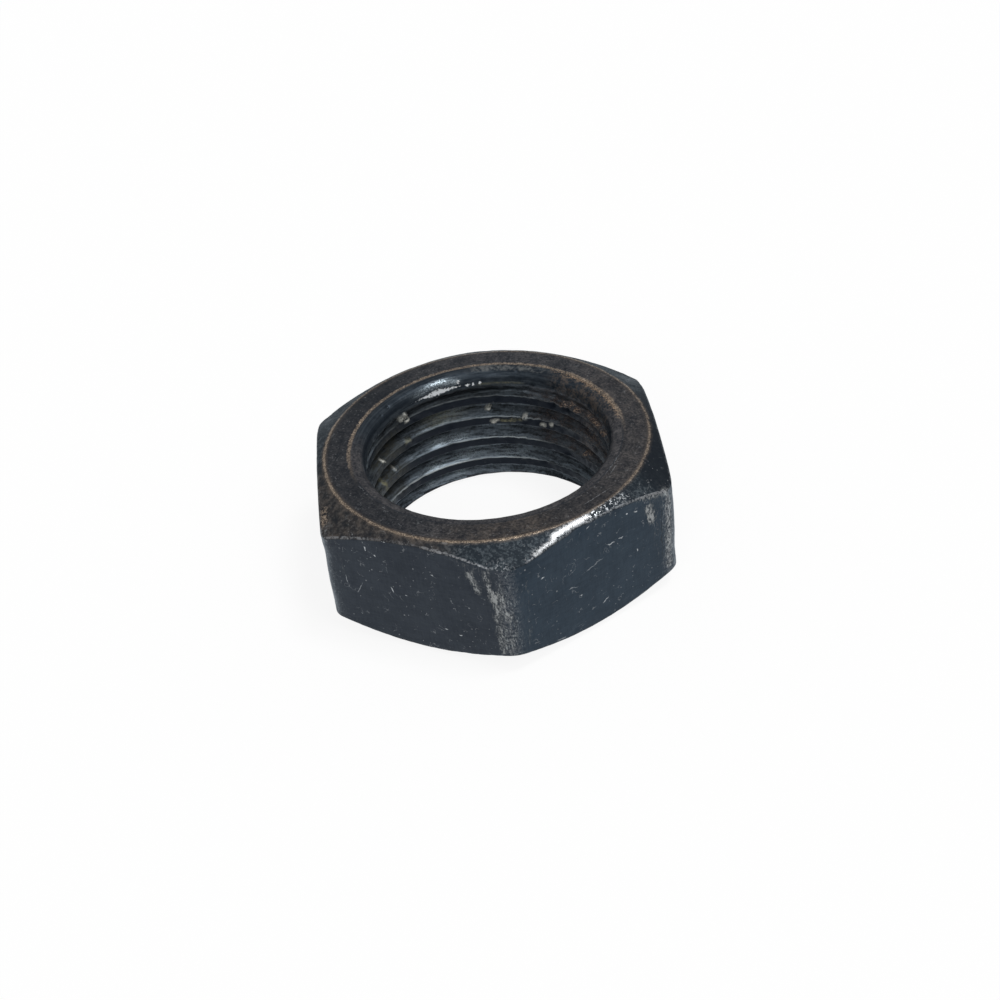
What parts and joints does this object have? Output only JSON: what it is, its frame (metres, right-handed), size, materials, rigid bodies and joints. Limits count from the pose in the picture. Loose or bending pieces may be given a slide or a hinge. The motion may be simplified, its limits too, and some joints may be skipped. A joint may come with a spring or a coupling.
{
  "type": "thin lock nut",
  "caption": "Hexagon thin lock nut with a metric fine right-hand thread, 30 degree chamfers on both faces and a wide rounded upper mouth, in worn black-oxide steel.",
  "frame": {"origin": "centre of the bore at the lower bearing face", "axes": "+Z along the thread axis, +X through a corner of the hexagon, so the flats face +Y and -Y"},
  "size_m": [0.0434, 0.038, 0.015],
  "materials": {
    "black_oxide_steel": "worn black oxide, satin"
  },
  "bodies": {
    "root": {"lock_nut": "black_oxide_steel"}
  },
  "joints": []
}
